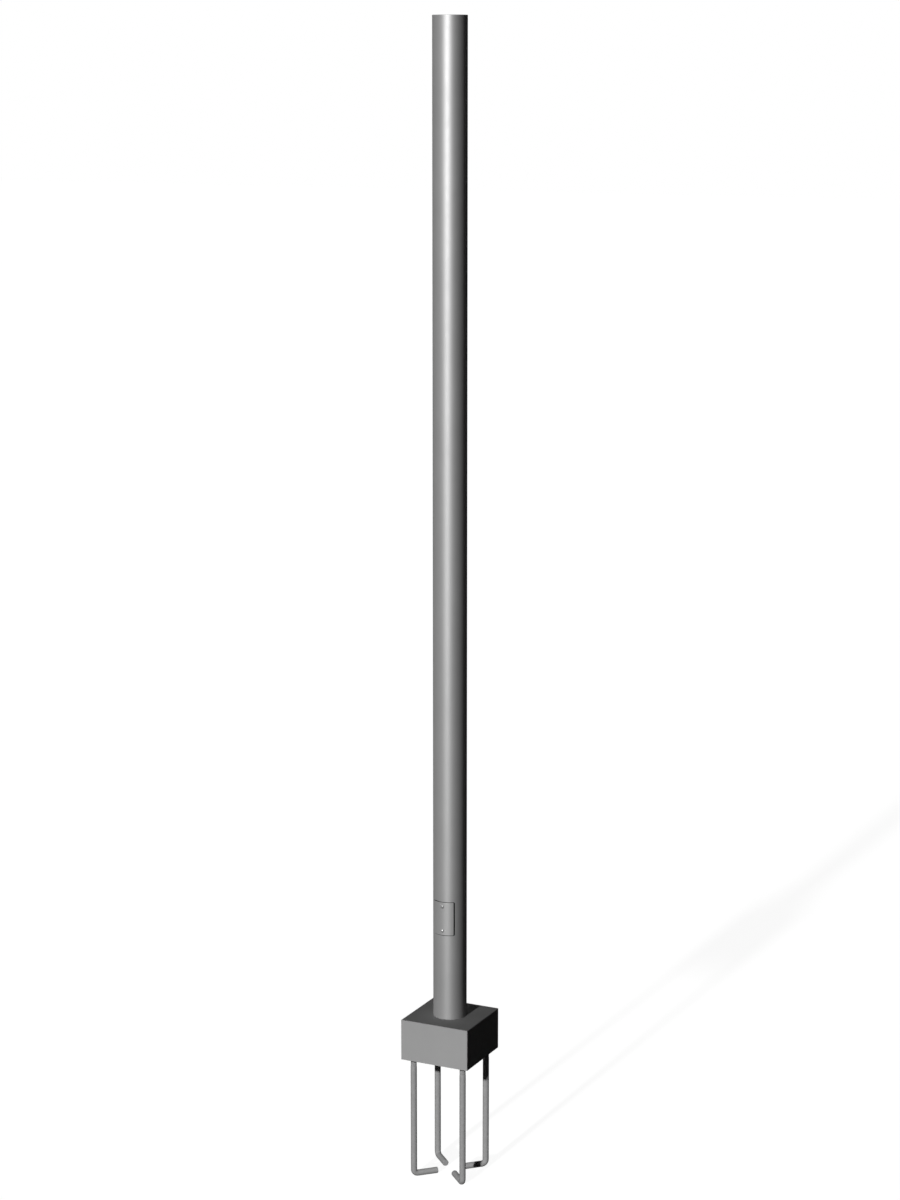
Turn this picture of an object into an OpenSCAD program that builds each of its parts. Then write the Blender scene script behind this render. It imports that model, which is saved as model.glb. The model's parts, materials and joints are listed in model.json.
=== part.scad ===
// Straight round steel light pole on an anchor base, with a reinforced hand hole and a
// one-piece square base cover that slips down over the pole.
//
// The origin is the centre of the base plate's underside, which lies on the foundation.
// +Z is up and the hand hole faces -Y, which is the front. Left is -X.

/* [Pole] */
// Outside diameter of the pole tube
pole_d = 101.6; // [90:0.1:140]
// Wall thickness of the pole tube
pole_wall = 3.05; // [2.5:0.05:6]
// Height of the pole's open top above the foundation
pole_h = 3102; // [1500:1:6000]
// Height of the tube's lower end above the underside of the base plate
tube_lift = 6; // [4:0.5:9]

/* [Base plate] */
// Thickness of the base plate
plate_t = 19.05; // [12:0.05:32]
// Distance from a bolt's axis to the nearest edges of the plate
bolt_edge = 20.6; // [19.5:0.1:40]
// Radius of the plate's corners
plate_corner_r = 6; // [1:0.5:12]
// Gap all round between the tube and its socket in the plate
socket_gap = 0.4; // [0.2:0.1:1.5]
// Leg of the fillet weld round the tube on top of the plate
outer_weld_leg = 8; // [4:0.5:12]
// Depth of the weld inside the socket, under the end of the tube
inner_weld_depth = 4.5; // [2:0.5:8]

/* [Anchor bolts] */
// Spacing of the bolts along X and along Y
bolt_spacing = 165.2; // [140:0.1:220]
// Diameter of the plain shank
bolt_d = 19.05; // [16:0.05:24]
// How much smaller the thread's outside diameter is than the shank
thread_allowance = 0.35; // [0.05:0.05:0.5]
// Length of the thread
thread_l = 101.6; // [80:0.1:150]
// Height of the bolt's top above the foundation
bolt_projection = 73.6; // [66:0.1:90]
// Depth of the hook's underside below the foundation
bolt_depth = 383.6; // [250:0.1:900]
// Length of the hook, from the shank's axis to its end
hook_l = 76; // [45:0.5:110]
// Radius of the bend along the bolt's centreline
hook_bend_r = 12.7; // [12.2:0.1:30]
// Bevel at the threaded end
bolt_bevel = 2; // [1:0.5:3]

/* [Nuts and washers] */
// Clearance all round between a bolt and the hole for it in the plate
bolt_hole_gap = 3.175; // [1:0.005:4]
// Outside diameter of a washer
washer_d = 37.3; // [34:0.1:44]
// Thickness of a washer
washer_t = 3.4; // [2:0.1:5]
// Clearance all round between a bolt and its washer
washer_gap = 0.8; // [0.4:0.1:1.5]
// Distance across the flats of a nut
nut_af = 28.575; // [27:0.005:38]
// Height of a full nut
nut_h = 16.3; // [12:0.1:20]
// Height of a jam nut
jam_nut_h = 10.6; // [8:0.1:14]
// Clearance all round between a thread and the nut or tapped hole on it
thread_gap = 0.05; // [0.01:0.01:0.1]

/* [Base cover] */
// Height of the base cover
cover_h = 126.4; // [95:0.1:200]
// Sheet thickness of the base cover
cover_t = 1.9; // [1.2:0.1:3.5]
// Gap all round between the base plate's edge and the cover's inside
cover_plate_gap = 6.2; // [5:0.1:15]
// Outside radius of the cover's folded edges
cover_edge_r = 2.4; // [2:0.1:6]
// Gap all round between the pole and the hole in the cover's top
cover_pole_gap = 0.8; // [0.5:0.1:4]

/* [Hand hole] */
// Height of the middle of the hand hole above the foundation
hand_hole_z = 445.3; // [300:0.1:900]
// Width of the clear opening inside the frame
hand_hole_w = 44.4; // [36:0.1:56]
// Height of the clear opening inside the frame
hand_hole_h = 84; // [70:0.5:140]
// Corner radius of the clear opening
hand_hole_r = 10; // [3:0.5:15]
// Thickness of the frame that lines the hand hole
frame_t = 4.8; // [3:0.1:6]
// Depth of the frame, from the front of the pole inwards
frame_depth = 18; // [14:0.5:24]

/* [Hand hole cover] */
// Thickness of the curved cover plate
hand_cover_t = 3.2; // [1.5:0.1:4]
// How far the cover laps over the pole beside the frame
hand_cover_side_lap = 3.9; // [2:0.1:6]
// How far the cover laps over the pole above and below the frame
hand_cover_end_lap = 4.45; // [2:0.05:12]
// Corner radius of the cover plate
hand_cover_r = 2.5; // [1:0.1:4]
// Distance from each end of the clear opening to the axis of the nearest screw
screw_inset = 4.3; // [4:0.1:8]
// Thickness of the tabs that the screws thread into
tab_t = 6; // [4:0.5:8]
// Depth of the tabs' front face behind the front of the pole
tab_setback = 7; // [6:0.5:9]
// Distance from a screw's axis to the free edge of its tab
tab_edge = 7.5; // [6:0.5:9]

/* [Cover screws] */
// Thread diameter of the cover screws
screw_d = 6.35; // [5:0.05:8]
// Length of a screw under its head
screw_l = 16; // [14:0.5:20]
// Diameter of the button head
screw_head_d = 11.1; // [9:0.1:14]
// Height of the button head
screw_head_h = 3.35; // [2.5:0.05:4.5]
// Distance across the flats of the socket in the head
screw_socket_af = 3.97; // [3:0.01:5]
// Depth of the socket in the head
screw_socket_depth = 2.1; // [1.5:0.1:2.3]
// Clearance all round between a screw and its hole in the cover
screw_hole_gap = 0.4; // [0.2:0.05:1]

/* [Ground lug] */
// Side of the ground lug
lug_w = 25.4; // [20:0.1:35]
// How far the lug stands in from the inside of the tube
lug_reach = 12.7; // [8:0.1:16]
// Diameter of the tapped hole in the lug
lug_tap_d = 9.5; // [6:0.1:12.7]
// Thickness of the metal left behind the tapped hole
lug_floor = 2.2; // [1:0.1:4]

/* [Hidden] */
$fn = 96;

// How far a cut runs past the face that it opens
over = 1;
// How far the hand hole cover's corner cuts run over its edges, to meet them in a clean line
corner_overrun = 0.1;

painted = [0.68, 0.68, 0.68];
galvanised = [0.66, 0.67, 0.68];
welded = [0.62, 0.62, 0.62];

pole_r = pole_d / 2;
bore_r = pole_r - pole_wall;
socket_r = pole_r + socket_gap;
plate_w = bolt_spacing + 2 * bolt_edge;
cover_w = plate_w + 2 * (cover_plate_gap + cover_t);

thread_d = bolt_d - thread_allowance;
washer_z = plate_t;
nut_z = washer_z + washer_t;
jam_nut_z = nut_z + nut_h;
hook_z = -bolt_depth + bolt_d / 2;

frame_w = hand_hole_w + 2 * frame_t;
frame_h = hand_hole_h + 2 * frame_t;
frame_back = -pole_r + frame_depth;
tab_front = -pole_r + tab_setback;
screw_rise = hand_hole_h / 2 - screw_inset;
hand_cover_outer_r = pole_r + hand_cover_t;
hand_cover_h = frame_h + 2 * hand_cover_end_lap;
hand_cover_half_angle = asin((frame_w / 2 + hand_cover_side_lap) / pole_r);

// Where each corner lies, as the signs of X and Y
front_left = [-1, -1];
front_right = [1, -1];
back_left = [-1, 1];
back_right = [1, 1];

// ---- Shared shapes ----

// A rectangle with rounded corners, centred on the origin
module rounded_rectangle(w, h, r) {
    square([w - 2 * r, h], center = true);
    square([w, h - 2 * r], center = true);
    for (x = [-1, 1], y = [-1, 1])
        translate([x * (w / 2 - r), y * (h / 2 - r)]) circle(r);
}

// A rectangle standing on the X axis with its two upper corners rounded
module rounded_top(w, h, r) {
    translate([-w / 2, 0]) square([w, h - r]);
    translate([-w / 2 + r, 0]) square([w - 2 * r, h]);
    for (x = [-1, 1])
        translate([x * (w / 2 - r), h - r]) circle(r);
}

// A square block standing on z = 0 with every edge rounded except those of its base
module rounded_block(w, h, r) {
    intersection() {
        linear_extrude(h) rounded_rectangle(w, w, r);
        rotate([90, 0, 0]) linear_extrude(w, center = true) rounded_top(w, h, r);
        rotate([90, 0, 90]) linear_extrude(w, center = true) rounded_top(w, h, r);
    }
}

// A ring standing on z = 0
module ring(outer_r, inner_r, h) {
    difference() {
        cylinder(r = outer_r, h = h);
        translate([0, 0, -over]) cylinder(r = inner_r, h = h + 2 * over);
    }
}

// Puts its children, drawn round the bolt's axis, at one corner of the bolt square
module at_corner(corner) {
    translate([corner.x * bolt_spacing / 2, corner.y * bolt_spacing / 2]) children();
}

// Puts a flat outline upright in the hand hole, from one depth in the pole to another.
// The outline's Y becomes +Z.
module through_front(front_y, back_y) {
    translate([0, back_y, hand_hole_z]) rotate([90, 0, 0])
        linear_extrude(back_y - front_y) children();
}

// ---- Pole and base ----

module pole_shaft() {
    color(painted) difference() {
        translate([0, 0, tube_lift]) ring(pole_r, bore_r, pole_h - tube_lift);
        through_front(-pole_r - over, 0)
            rounded_rectangle(frame_w, frame_h, hand_hole_r + frame_t);
    }
}

module base_plate() {
    color(painted) difference() {
        linear_extrude(plate_t) rounded_rectangle(plate_w, plate_w, plate_corner_r);
        translate([0, 0, -over]) cylinder(r = socket_r, h = plate_t + 2 * over);
        for (corner = [front_left, front_right, back_left, back_right])
            at_corner(corner) translate([0, 0, -over])
                cylinder(d = bolt_d + 2 * bolt_hole_gap, h = plate_t + 2 * over);
    }
}

// The fillet weld in the corner between the tube and the top of the plate
module outer_weld() {
    color(welded) rotate_extrude()
        polygon([
            [pole_r, plate_t],
            [pole_r + outer_weld_leg, plate_t],
            [pole_r, plate_t + outer_weld_leg]
        ]);
}

// The weld between the end of the tube and the socket's wall
module inner_weld() {
    color(welded) rotate_extrude()
        polygon([
            [bore_r, tube_lift],
            [socket_r, tube_lift],
            [socket_r, tube_lift - inner_weld_depth]
        ]);
}

// One folded sheet with welded corners, open below, with a hole for the pole in its top
module base_cover() {
    color(painted) difference() {
        rounded_block(cover_w, cover_h, cover_edge_r);
        translate([0, 0, -over])
            rounded_block(cover_w - 2 * cover_t, cover_h - cover_t + over, cover_edge_r - cover_t);
        cylinder(r = pole_r + cover_pole_gap, h = cover_h + over);
    }
}

// ---- Anchor bolts, washers and nuts ----

// A bolt with its threaded end up and its hook pointing inwards along the plate's diagonal
module anchor_bolt(corner) {
    inwards = atan2(-corner.y, -corner.x);
    bend_z = hook_z + hook_bend_r;
    thread_z = bolt_projection - thread_l;
    color(galvanised) at_corner(corner) rotate([0, 0, inwards]) {
        translate([0, 0, thread_z])
            cylinder(d = thread_d, h = thread_l - bolt_bevel);
        translate([0, 0, bolt_projection - bolt_bevel])
            cylinder(d1 = thread_d, d2 = thread_d - 2 * bolt_bevel, h = bolt_bevel);
        translate([0, 0, bend_z])
            cylinder(d = bolt_d, h = thread_z - bend_z);
        translate([hook_bend_r, 0, bend_z]) rotate([90, 0, 0]) rotate([0, 0, 180])
            rotate_extrude(angle = 90) translate([hook_bend_r, 0]) circle(d = bolt_d);
        translate([hook_bend_r, 0, hook_z]) rotate([0, 90, 0])
            cylinder(d = bolt_d, h = hook_l - hook_bend_r);
    }
}

module washer(corner) {
    color(galvanised) at_corner(corner) translate([0, 0, washer_z])
        ring(washer_d / 2, bolt_d / 2 + washer_gap, washer_t);
}

// A hex nut whose corners are bevelled at both ends at 30 degrees
module hex_nut(corner, z, h) {
    corner_r = nut_af / 2 / cos(30);
    cone_r = corner_r + over;
    cone_h = (cone_r - nut_af / 2) * tan(30);
    color(galvanised) at_corner(corner) translate([0, 0, z]) difference() {
        intersection() {
            cylinder(r = corner_r, h = h, $fn = 6);
            rotate_extrude() polygon([
                [0, 0], [nut_af / 2, 0], [cone_r, cone_h],
                [cone_r, h - cone_h], [nut_af / 2, h], [0, h]
            ]);
        }
        translate([0, 0, -over]) cylinder(r = thread_d / 2 + thread_gap, h = h + 2 * over);
    }
}

module nut(corner) {
    hex_nut(corner, nut_z, nut_h);
}

module jam_nut(corner) {
    hex_nut(corner, jam_nut_z, jam_nut_h);
}

// ---- Hand hole ----

// A bar bent into a ring that lines the hand hole, flush with the round outside of the pole
module hand_hole_frame() {
    color(painted) intersection() {
        through_front(-pole_r - over, frame_back) difference() {
            rounded_rectangle(frame_w, frame_h, hand_hole_r + frame_t);
            rounded_rectangle(hand_hole_w, hand_hole_h, hand_hole_r);
        }
        cylinder(r = pole_r, h = pole_h);
    }
}

// A plate across one end of the opening, with the tapped hole for a screw.
// side is 1 for the upper end and -1 for the lower.
module tab(side) {
    tab_h = screw_inset + tab_edge;
    color(painted) difference() {
        intersection() {
            through_front(tab_front, tab_front + tab_t)
                rounded_rectangle(hand_hole_w, hand_hole_h, hand_hole_r);
            translate([-hand_hole_w / 2, tab_front, 0])
                translate([0, 0, hand_hole_z + side * (hand_hole_h - tab_h) / 2 - tab_h / 2])
                    cube([hand_hole_w, tab_t, tab_h]);
            cylinder(r = pole_r, h = pole_h);
        }
        through_front(tab_front - over, tab_front + tab_t + over)
            translate([0, side * screw_rise]) circle(d = screw_d + 2 * thread_gap);
    }
}

module upper_tab() {
    tab(1);
}

module lower_tab() {
    tab(-1);
}

// A plate rolled to the pole's radius, cut square to its own surface, with rounded corners
module hand_hole_cover() {
    half_h = hand_cover_h / 2;
    corner_angle = hand_cover_half_angle - asin((hand_cover_r - corner_overrun) / hand_cover_outer_r);
    color(painted) translate([0, 0, hand_hole_z]) difference() {
        translate([0, 0, -half_h]) rotate([0, 0, -90 - hand_cover_half_angle])
            rotate_extrude(angle = 2 * hand_cover_half_angle)
                translate([pole_r, 0]) square([hand_cover_t, hand_cover_h]);
        for (x = [-1, 1], z = [-1, 1])
            rotate([0, 0, x * corner_angle])
                translate([0, 0, z * (half_h - hand_cover_r + corner_overrun)])
                rotate([90, 0, 0]) linear_extrude(hand_cover_outer_r + over) difference() {
                    translate([x > 0 ? 0 : -2 * hand_cover_r, z > 0 ? 0 : -2 * hand_cover_r])
                        square(2 * hand_cover_r);
                    circle(hand_cover_r);
                }
        for (z = [-1, 1])
            translate([0, -pole_r / 2, z * screw_rise]) rotate([90, 0, 0])
                cylinder(d = screw_d + 2 * screw_hole_gap, h = pole_r);
    }
}

// A button head screw, driven straight back through the cover into its tab
module cover_screw(side) {
    dome_r = (pow(screw_head_d / 2, 2) + pow(screw_head_h, 2)) / (2 * screw_head_h);
    socket_r = screw_socket_af / 2 / cos(30);
    color(galvanised) translate([0, -hand_cover_outer_r, hand_hole_z + side * screw_rise])
        rotate([90, 0, 0]) {
            difference() {
                translate([0, 0, screw_head_h - dome_r]) sphere(dome_r);
                translate([-dome_r, -dome_r, -2 * dome_r]) cube(2 * dome_r);
                translate([0, 0, screw_head_h - screw_socket_depth])
                    cylinder(r = socket_r, h = screw_socket_depth + over, $fn = 6);
            }
            translate([0, 0, -screw_l]) cylinder(d = screw_d, h = screw_l);
        }
}

module upper_screw() {
    cover_screw(1);
}

module lower_screw() {
    cover_screw(-1);
}

// A block with a blind tapped hole for the ground wire, on the wall opposite the hand hole
module ground_lug() {
    lug_front = bore_r - lug_reach;
    color(painted) difference() {
        intersection() {
            translate([-lug_w / 2, lug_front, hand_hole_z - lug_w / 2]) cube([lug_w, bore_r, lug_w]);
            cylinder(r = bore_r, h = pole_h);
        }
        translate([0, lug_front - over, hand_hole_z]) rotate([-90, 0, 0])
            cylinder(d = lug_tap_d, h = lug_reach - lug_floor + over);
    }
}

pole_shaft();
base_plate();
outer_weld();
inner_weld();
base_cover();
anchor_bolt(front_left);  // anchor_bolt_front_left
anchor_bolt(front_right);  // anchor_bolt_front_right
anchor_bolt(back_left);  // anchor_bolt_back_left
anchor_bolt(back_right);  // anchor_bolt_back_right
washer(front_left);  // washer_front_left
washer(front_right);  // washer_front_right
washer(back_left);  // washer_back_left
washer(back_right);  // washer_back_right
nut(front_left);  // nut_front_left
nut(front_right);  // nut_front_right
nut(back_left);  // nut_back_left
nut(back_right);  // nut_back_right
jam_nut(front_left);  // jam_nut_front_left
jam_nut(front_right);  // jam_nut_front_right
jam_nut(back_left);  // jam_nut_back_left
jam_nut(back_right);  // jam_nut_back_right
hand_hole_frame();
upper_tab();
lower_tab();
hand_hole_cover();
upper_screw();
lower_screw();
ground_lug();
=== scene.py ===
"""Looks of the straight round light pole: finishes, camera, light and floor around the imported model."""
import json
import math

import bmesh
import bpy
from mathutils import Euler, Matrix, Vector


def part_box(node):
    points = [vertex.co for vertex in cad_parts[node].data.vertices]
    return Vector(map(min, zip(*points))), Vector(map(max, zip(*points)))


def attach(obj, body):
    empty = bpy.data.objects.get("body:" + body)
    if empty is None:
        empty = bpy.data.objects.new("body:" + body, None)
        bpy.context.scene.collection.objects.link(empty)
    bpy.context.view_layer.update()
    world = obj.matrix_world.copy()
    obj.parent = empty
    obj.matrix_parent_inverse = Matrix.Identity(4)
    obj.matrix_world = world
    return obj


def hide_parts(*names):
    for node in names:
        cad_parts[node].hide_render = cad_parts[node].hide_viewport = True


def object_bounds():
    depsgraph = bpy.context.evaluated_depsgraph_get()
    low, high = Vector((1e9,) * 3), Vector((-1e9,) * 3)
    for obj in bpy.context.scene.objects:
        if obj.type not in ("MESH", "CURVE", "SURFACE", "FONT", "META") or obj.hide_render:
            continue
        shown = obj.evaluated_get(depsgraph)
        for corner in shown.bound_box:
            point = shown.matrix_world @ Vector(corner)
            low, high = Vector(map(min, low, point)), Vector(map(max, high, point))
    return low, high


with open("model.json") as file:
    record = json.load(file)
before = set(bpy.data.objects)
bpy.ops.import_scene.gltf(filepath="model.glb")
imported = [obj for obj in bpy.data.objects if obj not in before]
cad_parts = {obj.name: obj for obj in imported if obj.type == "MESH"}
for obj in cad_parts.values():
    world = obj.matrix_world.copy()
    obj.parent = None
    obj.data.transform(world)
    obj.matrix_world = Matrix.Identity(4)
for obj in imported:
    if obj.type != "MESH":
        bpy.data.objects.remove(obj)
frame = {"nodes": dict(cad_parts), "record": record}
cad_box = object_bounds()

# ---- Camera: where the picture was taken from, in metres from the pole's axis and the foundation ----

CAMERA_AZIMUTH = math.radians(25.988)
CAMERA_DISTANCE = 7.7384
CAMERA_HEIGHT = 2.957
CAMERA_PITCH = math.radians(11.284)
CAMERA_SIGHT = 200.0
# Lens and sensor in millimetres
CAMERA_LENS = 80.13
CAMERA_SENSOR = 36.0


def around_pole(radius, azimuth, z):
    """A point round the pole's axis, at an azimuth from the front towards +X."""
    return Vector((radius * math.sin(azimuth), -radius * math.cos(azimuth), z))


def make_camera():
    data = bpy.data.cameras.new("camera")
    data.sensor_width = CAMERA_SENSOR
    data.lens = CAMERA_LENS
    data.clip_end = CAMERA_SIGHT
    camera = bpy.data.objects.new("camera", data)
    camera.location = around_pole(CAMERA_DISTANCE, CAMERA_AZIMUTH, CAMERA_HEIGHT)
    camera.rotation_euler = Euler((math.pi / 2 - CAMERA_PITCH, 0, CAMERA_AZIMUTH))
    bpy.context.scene.collection.objects.link(camera)
    bpy.context.scene.camera = camera


make_camera()

# ---- Materials ----

# Places of a Mix node's colour sockets, whose names several sockets share
MIX_FACTOR = 0
MIX_A = 6
MIX_B = 7
MIX_RESULT = 2


class Shader:
    """A node material with a Principled BSDF and short calls for the nodes that drive it."""

    def __init__(self, name):
        self.material = bpy.data.materials.new(name)
        self.material.use_nodes = True
        self.tree = self.material.node_tree
        self.bsdf = self.tree.nodes["Principled BSDF"]
        self.place = self.tree.nodes.new("ShaderNodeTexCoord").outputs["Object"]

    def node(self, kind, inputs=None, **settings):
        made = self.tree.nodes.new(kind)
        for key, value in settings.items():
            setattr(made, key, value)
        for key, value in (inputs or {}).items():
            self.put(made.inputs[key], value)
        return made

    def put(self, socket, value):
        if isinstance(value, bpy.types.NodeSocket):
            self.tree.links.new(value, socket)
        else:
            socket.default_value = value

    def noise(self, scale, detail=3.0, roughness=0.55):
        made = self.node(
            "ShaderNodeTexNoise",
            {"Vector": self.place, "Scale": scale, "Detail": detail, "Roughness": roughness},
        )
        return made.outputs["Fac"]

    def span(self, value, low, high, start=0.3, end=0.7):
        made = self.node(
            "ShaderNodeMapRange",
            {"Value": value, "From Min": start, "From Max": end, "To Min": low, "To Max": high},
        )
        return made.outputs["Result"]

    def mix(self, factor, a, b):
        made = self.node("ShaderNodeMix", data_type="RGBA")
        self.put(made.inputs[MIX_FACTOR], factor)
        self.put(made.inputs[MIX_A], a)
        self.put(made.inputs[MIX_B], b)
        return made.outputs[MIX_RESULT]

    def maths(self, operation, a, b=None):
        made = self.node("ShaderNodeMath", {0: a}, operation=operation)
        if b is not None:
            self.put(made.inputs[1], b)
        return made.outputs[0]

    def past(self, value, limit):
        """How far a value, of either sign, lies beyond a limit, or 0 within it."""
        return self.maths("MAXIMUM", self.maths("SUBTRACT", self.maths("ABSOLUTE", value), limit), 0.0)

    def hypot(self, a, b):
        squares = [self.maths("POWER", value, 2.0) for value in (a, b)]
        return self.maths("SQRT", self.maths("ADD", *squares))

    def bump(self, height, distance):
        made = self.node("ShaderNodeBump", {"Height": height, "Distance": distance, "Strength": 1.0})
        self.put(self.bsdf.inputs["Normal"], made.outputs["Normal"])


def linear(level):
    """The linear value of an sRGB level from 0 to 1."""
    return level / 12.92 if level <= 0.04045 else ((level + 0.055) / 1.055) ** 2.4


def grey(level):
    return (linear(level),) * 3 + (1.0,)


# The line of painted shade and dirt in the joint round the hand hole cover: its reach past the cover's
# edge, half of its soft border, its reach in under the edge, how far it is set lower than the cover, how
# far it stays below the cover's face, its grey, and the radius of the cover's corners
JOINT_LINE = 0.0016
JOINT_FADE = 0.0003
JOINT_INSIDE = 0.0015
JOINT_DROP = 0.0011
JOINT_BELOW_FACE = 0.0002
JOINT_SHADE_AND_DIRT_LEVEL = 0.10
COVER_CORNER = 0.0025


def joint_shade_and_dirt(s):
    """1 on the line of painted shade and dirt in the joint round the hand hole cover, set a little low,
    else 0.
    """
    low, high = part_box("hand_hole_cover")
    place = s.node("ShaderNodeSeparateXYZ", {"Vector": s.place}).outputs
    height = s.maths("SUBTRACT", place["Z"], (low.z + high.z) / 2 - JOINT_DROP)
    past_side = s.past(place["X"], high.x - COVER_CORNER)
    past_end = s.past(height, (high.z - low.z) / 2 - COVER_CORNER)
    beyond = s.maths("SUBTRACT", s.hypot(past_side, past_end), COVER_CORNER)
    line = s.span(beyond, 1.0, 0.0, JOINT_LINE - JOINT_FADE, JOINT_LINE + JOINT_FADE)
    inner = s.maths("GREATER_THAN", beyond, -JOINT_INSIDE)
    below_face = s.maths("LESS_THAN", s.hypot(place["X"], place["Y"]), -low.y - JOINT_BELOW_FACE)
    in_front = s.maths("LESS_THAN", place["Y"], 0.0)
    for limit in (inner, below_face, in_front):
        line = s.maths("MULTIPLY", line, limit)
    return line


# The powder coat: how far its grey and its roughness drift, and the scales of both and of its orange peel
COAT_DRIFT = 0.008
COAT_SCALE = 6.0
GLOSS_DRIFT = 0.015
GLOSS_SCALE = 35.0
PEEL_SCALE = 900.0
PEEL_DEPTH = 0.00002


def paint(name, level, flake, roughness):
    """Grey powder coat: an even colour, a fine orange peel, a trace of metal flake for its sheen, and a
    painted shade and dirt line round the hand hole cover.
    """
    s = Shader(name)
    cloud = s.noise(COAT_SCALE)
    coat = s.mix(s.span(cloud, 0, 1), grey(level - COAT_DRIFT), grey(level + COAT_DRIFT))
    # The coat is darkened here by the painted shade and dirt line round the hand hole cover
    s.put(s.bsdf.inputs["Base Color"], s.mix(joint_shade_and_dirt(s), coat, grey(JOINT_SHADE_AND_DIRT_LEVEL)))
    gloss = s.span(s.noise(GLOSS_SCALE), roughness - GLOSS_DRIFT, roughness + GLOSS_DRIFT)
    s.put(s.bsdf.inputs["Roughness"], gloss)
    s.bsdf.inputs["Metallic"].default_value = flake
    s.bsdf.inputs["Specular IOR Level"].default_value = 0.0
    s.bump(s.noise(PEEL_SCALE, detail=1.0), PEEL_DEPTH)
    return s.material


# The zinc: the spangle's scale and how far its grey drifts, the same for its roughness, and its grain
SPANGLE_SCALE = 140.0
SPANGLE_DRIFT = 0.02
BLOOM_SCALE = 60.0
BLOOM_DRIFT = 0.02
GRAIN_SCALE = 500.0
GRAIN_DEPTH = 0.00003


def galvanised(name, level=0.66, flake=0.005, roughness=0.46):
    """Hot-dip zinc: a dull grey with a faint spangle."""
    s = Shader(name)
    cells = s.node("ShaderNodeTexVoronoi", {"Vector": s.place, "Scale": SPANGLE_SCALE})
    spangle = s.mix(cells.outputs["Color"], grey(level - SPANGLE_DRIFT), grey(level + SPANGLE_DRIFT))
    s.put(s.bsdf.inputs["Base Color"], spangle)
    bloom = s.span(s.noise(BLOOM_SCALE), roughness - BLOOM_DRIFT, roughness + BLOOM_DRIFT)
    s.put(s.bsdf.inputs["Roughness"], bloom)
    s.bsdf.inputs["Metallic"].default_value = flake
    s.bsdf.inputs["Specular IOR Level"].default_value = 0.0
    s.bump(s.noise(GRAIN_SCALE), GRAIN_DEPTH)
    return s.material


MATERIALS = {
    "painted_steel": paint("painted_steel", level=0.64, flake=0.005, roughness=0.51),
    "painted_sheet": paint("painted_sheet", level=0.64, flake=0.005, roughness=0.51),
    "painted_weld": paint("painted_weld", level=0.62, flake=0.005, roughness=0.55),
    "galvanised_bolt": galvanised("galvanised_bolt"),
    "galvanised_nut": galvanised("galvanised_nut"),
    "screw_steel": galvanised("screw_steel", flake=0.01, roughness=0.35),
}

for part in frame["record"]["subparts"]:
    shape = frame["nodes"][part["node"]]
    shape.data.materials.clear()
    shape.data.materials.append(MATERIALS[part["material_slot"]])

# ---- Shared mesh makers ----

SHARP_ANGLE = math.radians(32.0)


def finished(name, bm, body, slot, *replaced):
    """Turns a bmesh into a piece with its finish, which rides on a body and stands for CAD nodes."""
    bmesh.ops.recalc_face_normals(bm, faces=bm.faces)
    data = bpy.data.meshes.new(name)
    bm.to_mesh(data)
    bm.free()
    data.shade_smooth()
    data.set_sharp_from_angle(angle=SHARP_ANGLE)
    data.materials.append(MATERIALS[slot])
    piece = bpy.data.objects.new(name, data)
    bpy.context.scene.collection.objects.link(piece)
    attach(piece, body)
    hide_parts(*replaced)
    return piece


def bridge(bm, a, b):
    """Faces between two closed rows of as many vertices each."""
    for i in range(len(a)):
        j = (i + 1) % len(a)
        bm.faces.new((a[i], a[j], b[j], b[i]))


def skin(bm, rings, joined=False):
    """Faces between rings of as many points each. joined closes the last ring onto the first."""
    rows = [[bm.verts.new(point) for point in ring] for ring in rings]
    for a, b in zip(rows, rows[1:]):
        bridge(bm, a, b)
    if joined:
        bridge(bm, rows[-1], rows[0])
    return rows


def cap(bm, ring):
    """Closes a ring of vertices with a fan."""
    middle = sum((v.co for v in ring), Vector()) / len(ring)
    hub = bm.verts.new(middle)
    for i in range(len(ring)):
        bm.faces.new((ring[i], ring[(i + 1) % len(ring)], hub))


# ---- Pole shaft: the tube with its deburred rim and the cut for the hand hole's frame ----

POLE_WALL = 0.00305
TUBE_COLUMNS = 96
CUT_CORNER = 0.0148
CUT_BLOCK_COLUMNS = 11
CUT_BLOCK_MARGIN = 0.012
CUT_BLOCK_ROWS = 14
CUT_RINGS = 4
OUTLINE_TOLERANCE = 1e-7
RIM_RADIUS = 0.0004
RIM_STEPS = 3
RIM_BAND = 0.004


def tube_ring(bm, radius, z):
    return [bm.verts.new(around_pole(radius, math.tau * i / TUBE_COLUMNS, z)) for i in range(TUBE_COLUMNS)]


def outline_reach(across, up, half_width, half_height):
    """How far the cut's rounded outline lies from its centre in a direction."""
    near, far = 0.0, half_width + half_height
    while far - near > OUTLINE_TOLERANCE:
        middle = (near + far) / 2
        past_side = max(abs(across) * middle - (half_width - CUT_CORNER), 0)
        past_end = max(abs(up) * middle - (half_height - CUT_CORNER), 0)
        if math.hypot(past_side, past_end) < CUT_CORNER:
            near = middle
        else:
            far = middle
    return near


def block_edge(first, last):
    """Columns and rows round the block of faces that gives way to the cut."""
    reach = CUT_BLOCK_COLUMNS
    edge = [(i, first) for i in range(-reach, reach)]
    edge += [(reach, j) for j in range(first, last)]
    edge += [(i, last) for i in range(reach, -reach, -1)]
    edge += [(-reach, j) for j in range(last, first, -1)]
    return edge


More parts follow.
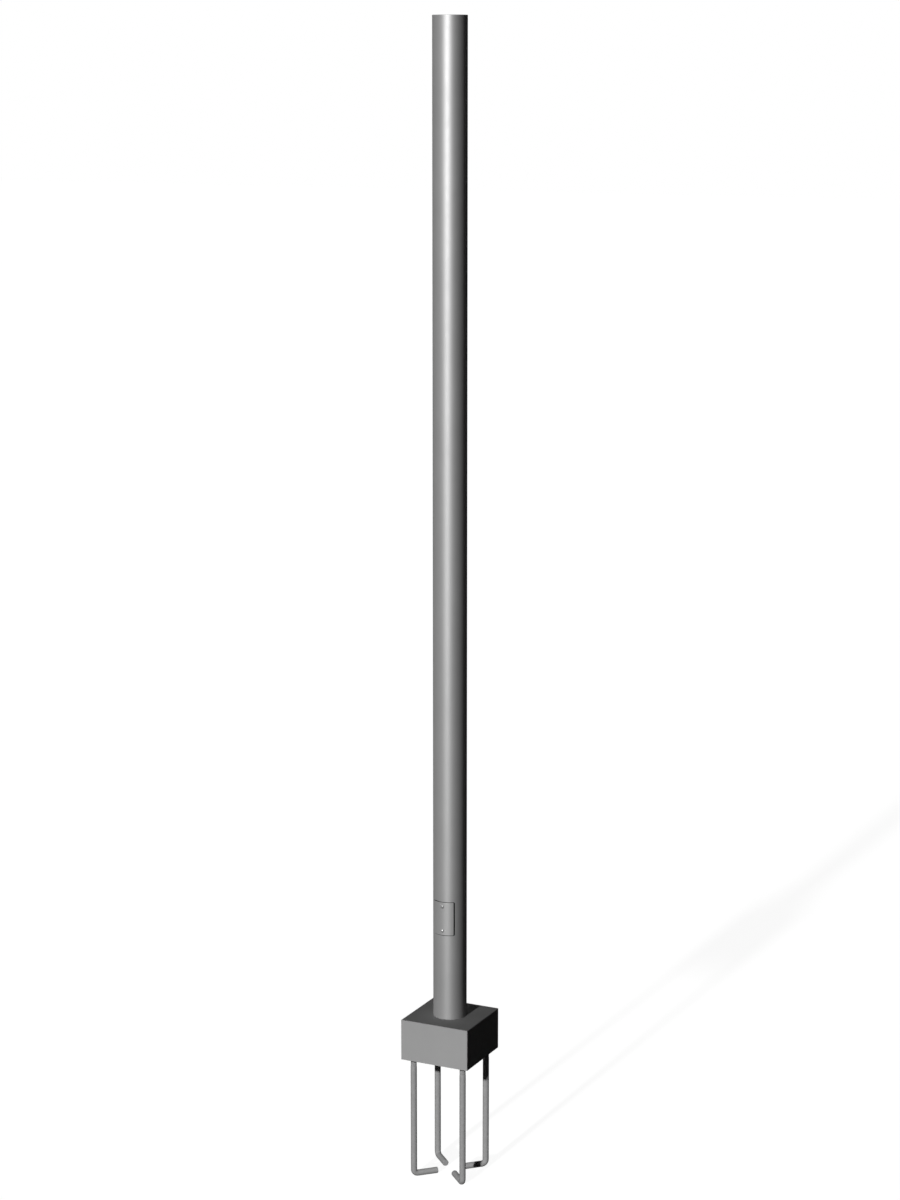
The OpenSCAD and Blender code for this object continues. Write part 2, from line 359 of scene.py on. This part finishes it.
def tube_face(bm, radius, heights, first, last, cut_low, cut_high):
    """One round face of the tube with its cut. Gives its lowest and highest rows and the cut's edge."""
    grid = [tube_ring(bm, radius, z) for z in heights]
    for j in range(len(heights) - 1):
        for i in range(-TUBE_COLUMNS // 2, TUBE_COLUMNS // 2):
            in_block = first <= j < last and -CUT_BLOCK_COLUMNS <= i < CUT_BLOCK_COLUMNS
            if not in_block:
                bm.faces.new((grid[j][i], grid[j][i + 1], grid[j + 1][i + 1], grid[j + 1][i]))
    middle = (cut_low.z + cut_high.z) / 2
    half_height = (cut_high.z - cut_low.z) / 2
    edge = block_edge(first, last)
    cut = []
    for i, j in edge:
        away = Vector((radius * math.sin(math.tau * i / TUBE_COLUMNS), heights[j] - middle)).normalized()
        reach = outline_reach(away.x, away.y, cut_high.x, half_height)
        cut.append(Vector((math.asin(reach * away.x / radius), middle + reach * away.y)))
    rows = []
    for k in range(CUT_RINGS):
        row = []
        for (i, j), inner in zip(edge, cut):
            place = inner.lerp(Vector((math.tau * i / TUBE_COLUMNS, heights[j])), k / CUT_RINGS)
            row.append(bm.verts.new(around_pole(radius, place.x, place.y)))
        rows.append(row)
    rows.append([grid[j][i] for i, j in edge])
    for a, b in zip(rows, rows[1:]):
        bridge(bm, a, b)
    return grid[0], grid[-1], rows[0]


def make_shaft():
    low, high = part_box("pole_shaft")
    cut_low, cut_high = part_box("hand_hole_frame")
    bore_r = high.x - POLE_WALL
    block_low = cut_low.z - CUT_BLOCK_MARGIN
    block_height = cut_high.z + CUT_BLOCK_MARGIN - block_low
    heights = [low.z]
    heights += [block_low + block_height * k / CUT_BLOCK_ROWS for k in range(CUT_BLOCK_ROWS + 1)]
    heights += [high.z - RIM_BAND, high.z - RIM_RADIUS]
    first = 1
    last = first + CUT_BLOCK_ROWS
    bm = bmesh.new()
    outer_foot, outer_top, outer_cut = tube_face(bm, high.x, heights, first, last, cut_low, cut_high)
    inner_foot, inner_top, inner_cut = tube_face(bm, bore_r, heights, first, last, cut_low, cut_high)
    bridge(bm, outer_foot, inner_foot)
    bridge(bm, outer_cut, inner_cut)
    rim = []
    for k in range(1, RIM_STEPS + 1):
        angle = math.pi / 2 * k / RIM_STEPS
        rim.append((RIM_RADIUS * (1 - math.cos(angle)), high.z - RIM_RADIUS * (1 - math.sin(angle))))
    rows = [outer_top]
    rows += [tube_ring(bm, high.x - inset, z) for inset, z in rim]
    rows += [tube_ring(bm, bore_r + inset, z) for inset, z in reversed(rim)]
    rows.append(inner_top)
    for a, b in zip(rows, rows[1:]):
        bridge(bm, a, b)
    return finished("deburred_pole_shaft", bm, "pole", "painted_steel", "pole_shaft")


SHAFT = make_shaft()

# ---- Anchor bolts: 3/4-10 thread, plain shank, bend and hook ----

MOUNTS = {mount["name"]: mount for mount in frame["record"]["mounts"]}
BOLT_DIMS = MOUNTS["anchor_bolts"]["dims"]
MM_PER_M = 1000
INCH = 0.0254
BOLT_REACH = BOLT_DIMS["spacing_x_mm"] / MM_PER_M / 2
SHANK_R = BOLT_DIMS["stud_r_mm"] / MM_PER_M
THREADS_PER_INCH = 10
THREAD_PITCH = INCH / THREADS_PER_INCH
THREAD_DEPTH_SHARE = 0.541
THREAD_DEPTH = THREAD_DEPTH_SHARE * THREAD_PITCH
THREAD_LENGTH = 0.1016
CREST_INSET = 0.000175
THREAD_CREST_R = SHANK_R - CREST_INSET
THREAD_BEVEL = 0.002
THREAD_ROWS_PER_TURN = 12
CREST_SHARE = 1 / 8
ROOT_SHARE = 1 / 4
RUNOUT_TURNS = 1.5
RUNOUT = RUNOUT_TURNS * THREAD_PITCH
BEND_R = 0.0127
HOOK_BEVEL = 0.0008
BEND_STEPS = 14
BOLT_SIDES = 36


def thread_radius(z, turn, low, high):
    """Radius of the thread's surface at a height and a share of a turn, between its two ends."""
    flank = (1 - CREST_SHARE - ROOT_SHARE) / 2
    from_crest = abs((z / THREAD_PITCH - turn) % 1 - 0.5)
    sunk = min(max((from_crest - CREST_SHARE / 2) / flank, 0), 1)
    fade = min((z - low) / RUNOUT, 1)
    bevelled = THREAD_CREST_R - THREAD_BEVEL + (high - z)
    return min(THREAD_CREST_R - THREAD_DEPTH * sunk * fade, bevelled)


def ring_across(centre, across, side, radius_at):
    """A ring of points round a centre, from the direction across towards side."""
    ring = []
    for i in range(BOLT_SIDES):
        turn = i / BOLT_SIDES
        angle = math.tau * turn
        ring.append(centre + radius_at(turn) * (math.cos(angle) * across + math.sin(angle) * side))
    return ring


def bolt_rings(axis, inwards, low, high, hook_end):
    """Rings down the bolt from its top, round the bend and out along the hook."""
    up = Vector((0, 0, 1))
    side = up.cross(inwards)
    rings = []
    thread_end = high - THREAD_LENGTH
    steps = round(THREAD_LENGTH / THREAD_PITCH * THREAD_ROWS_PER_TURN)
    for k in range(steps + 1):
        z = high - THREAD_LENGTH * k / steps
        ring = ring_across(axis + z * up, inwards, side, lambda t: thread_radius(z, t, thread_end, high))
        rings.append(ring)
    hook_z = low + SHANK_R
    for z in (thread_end - (SHANK_R - THREAD_CREST_R), hook_z + BEND_R):
        rings.append(ring_across(axis + z * up, inwards, side, lambda t: SHANK_R))
    pivot = axis + BEND_R * inwards + (hook_z + BEND_R) * up
    for k in range(1, BEND_STEPS + 1):
        angle = math.pi / 2 * k / BEND_STEPS
        across = math.cos(angle) * inwards + math.sin(angle) * up
        rings.append(ring_across(pivot - BEND_R * across, across, side, lambda t: SHANK_R))
    for back, radius in ((HOOK_BEVEL, SHANK_R), (0.0, SHANK_R - HOOK_BEVEL)):
        centre = axis + (hook_end - back) * inwards + hook_z * up
        rings.append(ring_across(centre, up, side, lambda t: radius))
    return rings


def make_bolt(node):
    low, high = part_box(node)
    middle = (low + high) / 2
    sign = Vector((math.copysign(1, middle.x), math.copysign(1, middle.y), 0))
    axis = BOLT_REACH * sign
    inwards = -sign.normalized()
    nearest_x = min(abs(low.x), abs(high.x))
    hook_end = (BOLT_REACH - nearest_x) / abs(inwards.x) - SHANK_R
    bm = bmesh.new()
    rows = skin(bm, bolt_rings(axis, inwards, low.z, high.z, hook_end))
    cap(bm, rows[0])
    cap(bm, rows[-1])
    return finished("hooked_" + node, bm, "pole", "galvanised_bolt", node)


BOLTS = [make_bolt(name) for name in frame["nodes"] if name.startswith("anchor_bolt_")]

# ---- Welds: beads with a ripple for each dip of the rod ----

BEAD_STEPS_PER_RIPPLE = 6
BEAD_POINTS = 7
RIPPLE_LENGTH = 0.0045
RIPPLE_HEIGHT = 0.0004
RIPPLE_LAG = 0.35
BEAD_CROWN = 0.0007


def make_bead(node, root, toes):
    """A weld round the pole: root and its two toes are (radius, height) corners of its section."""
    first, last = (Vector(toe) for toe in toes)
    chord = last - first
    out = Vector((chord.y, -chord.x)).normalized()
    if out.dot(first - Vector(root)) < 0:
        out = -out
    ripples = round(math.tau * max(first.x, last.x) / RIPPLE_LENGTH)
    rings = []
    for k in range(ripples * BEAD_STEPS_PER_RIPPLE):
        share = k / BEAD_STEPS_PER_RIPPLE
        angle = math.tau * share / ripples
        section = [Vector(root)]
        for i in range(BEAD_POINTS):
            t = i / (BEAD_POINTS - 1)
            bow = math.sin(math.pi * t)
            lag = share + RIPPLE_LAG * bow
            rise = bow * (BEAD_CROWN - RIPPLE_HEIGHT * abs(math.sin(math.pi * lag)))
            section.append(first + t * chord + rise * out)
        rings.append([Vector((p.x * math.cos(angle), p.x * math.sin(angle), p.y)) for p in section])
    bm = bmesh.new()
    skin(bm, rings, joined=True)
    return finished("beaded_" + node, bm, "pole", "painted_weld", node)


def make_welds():
    low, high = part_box("outer_weld")
    pole_r = high.x - (high.z - low.z)
    make_bead("outer_weld", (pole_r, low.z), ((pole_r, high.z), (high.x, low.z)))
    low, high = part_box("inner_weld")
    bore_r = pole_r - POLE_WALL
    make_bead("inner_weld", (high.x, high.z), ((bore_r, high.z), (high.x, low.z)))


make_welds()

# ---- Floor, light and background ----

FLOOR_SIZE = 120.0
# The floor's colour as it is seen, with the pole's shadow on it, and as it sends light back up at the pole
FLOOR_SEEN = 0.45
FLOOR_BOUNCE = 0.12
# What makes the lit floor white as it is seen
FLOOR_GLOW = 0.94
# The world's light on the pole
AMBIENT = 0.004

# The far lamps: azimuth from the front towards +X and elevation in degrees, strength in W/m2
KEY = (-1.0, 9.8, 2.66)
UPRIGHT_KEY = (-11.0, 26.0, 1.95)
BOLT_KEY = (6.5, 28.0, 2.7)
BACK_FILL = (206.0, 0.0, 2.4)
LAMP_ANGLE = math.radians(2.0)

# The sheen lamps, which show only as sheen on the pole and the parts on it
SHEEN_AZIMUTH = math.radians(8.0)
SHEEN_DISTANCE = 8.0
# Width and height of each
SHEEN_SIZE = (2.0, 1.5)
# Height above the foundation and power in W
SHEENS = {"high_sheen": (4.1, 80000.0), "low_sheen": (0.0, 24000.0)}


def seen_directly(tree):
    """1 for camera, glossy and transmission rays, which see the white background."""
    path = tree.nodes.new("ShaderNodeLightPath")
    total = path.outputs["Is Camera Ray"]
    for ray in ("Is Glossy Ray", "Is Transmission Ray"):
        add = tree.nodes.new("ShaderNodeMath")
        add.operation = "MAXIMUM"
        tree.links.new(total, add.inputs[0])
        tree.links.new(path.outputs[ray], add.inputs[1])
        total = add.outputs[0]
    return total


def make_floor():
    bottom = cad_box[0].z
    data = bpy.data.meshes.new("floor")
    half = FLOOR_SIZE / 2
    corners = [(-half, -half, bottom), (half, -half, bottom), (half, half, bottom), (-half, half, bottom)]
    data.from_pydata(corners, [], [(0, 1, 2, 3)])
    floor = bpy.data.objects.new("floor", data)
    bpy.context.scene.collection.objects.link(floor)
    material = bpy.data.materials.new("floor_white")
    material.use_nodes = True
    tree = material.node_tree
    bsdf = tree.nodes["Principled BSDF"]
    bsdf.inputs["Roughness"].default_value = 1.0
    bsdf.inputs["Specular IOR Level"].default_value = 0.0
    bsdf.inputs["Emission Color"].default_value = (1, 1, 1, 1)
    seen = seen_directly(tree)
    colour = tree.nodes.new("ShaderNodeMapRange")
    colour.inputs["To Min"].default_value = FLOOR_BOUNCE
    colour.inputs["To Max"].default_value = FLOOR_SEEN
    tree.links.new(seen, colour.inputs["Value"])
    tree.links.new(colour.outputs["Result"], bsdf.inputs["Base Color"])
    glow = tree.nodes.new("ShaderNodeMath")
    glow.operation = "MULTIPLY"
    glow.inputs[1].default_value = FLOOR_GLOW
    tree.links.new(seen, glow.inputs[0])
    tree.links.new(glow.outputs[0], bsdf.inputs["Emission Strength"])
    data.materials.append(material)


def make_world():
    world = bpy.data.worlds.new("studio")
    bpy.context.scene.world = world
    world.use_nodes = True
    tree = world.node_tree
    background = tree.nodes["Background"]
    background.inputs["Color"].default_value = (1, 1, 1, 1)
    level = tree.nodes.new("ShaderNodeMapRange")
    level.inputs["To Min"].default_value = AMBIENT
    level.inputs["To Max"].default_value = 1.0
    tree.links.new(seen_directly(tree), level.inputs["Value"])
    tree.links.new(level.outputs["Result"], background.inputs["Strength"])


def light_only(lamp, shapes):
    """The lamp lights these shapes and nothing else."""
    group = bpy.data.collections.new(lamp.name + "_lights")
    for shape in shapes:
        group.objects.link(shape)
    lamp.light_linking.receiver_collection = group


def light_all_but(lamp, shapes):
    """The lamp lights everything but these shapes."""
    group = bpy.data.collections.new(lamp.name + "_leaves_out")
    for shape in shapes:
        group.objects.link(shape)
    for entry in group.collection_objects:
        entry.light_linking.link_state = "EXCLUDE"
    lamp.light_linking.receiver_collection = group


def far_lamp(name, azimuth, elevation, strength):
    """A lamp far away, seen from the pole at this azimuth and elevation."""
    data = bpy.data.lights.new(name, "SUN")
    data.energy = strength
    data.angle = LAMP_ANGLE
    lamp = bpy.data.objects.new(name, data)
    lamp.rotation_euler = Euler((math.radians(90.0 - elevation), 0, math.radians(azimuth)))
    bpy.context.scene.collection.objects.link(lamp)
    return lamp


def sheen_lamp(name, height, power):
    """An upright lamp in front of the pole that shows only as sheen."""
    data = bpy.data.lights.new(name, "AREA")
    data.shape = "RECTANGLE"
    data.size, data.size_y = SHEEN_SIZE
    data.energy = power
    lamp = bpy.data.objects.new(name, data)
    lamp.location = around_pole(SHEEN_DISTANCE, SHEEN_AZIMUTH, height)
    lamp.rotation_euler = Euler((math.pi / 2, 0, SHEEN_AZIMUTH))
    lamp.visible_camera = False
    lamp.visible_diffuse = False
    bpy.context.scene.collection.objects.link(lamp)
    return lamp


UPRIGHT_NODES = (
    "hand_hole_frame", "upper_tab", "lower_tab", "hand_hole_cover",
    "upper_screw", "lower_screw", "ground_lug",
)
UPRIGHT = [SHAFT] + [frame["nodes"][name] for name in UPRIGHT_NODES]
make_floor()
make_world()
light_all_but(far_lamp("key", *KEY), BOLTS + UPRIGHT)
light_all_but(far_lamp("back_fill", *BACK_FILL), BOLTS + UPRIGHT)
for group, group_key, group_shapes in (("upright", UPRIGHT_KEY, UPRIGHT), ("bolt", BOLT_KEY, BOLTS)):
    light_only(far_lamp(group + "_key", *group_key), group_shapes)
    light_only(far_lamp(group + "_back_fill", *BACK_FILL), group_shapes)
for sheen_name, sheen in SHEENS.items():
    light_only(sheen_lamp(sheen_name, *sheen), UPRIGHT)
bpy.context.scene.view_settings.view_transform = "Standard"
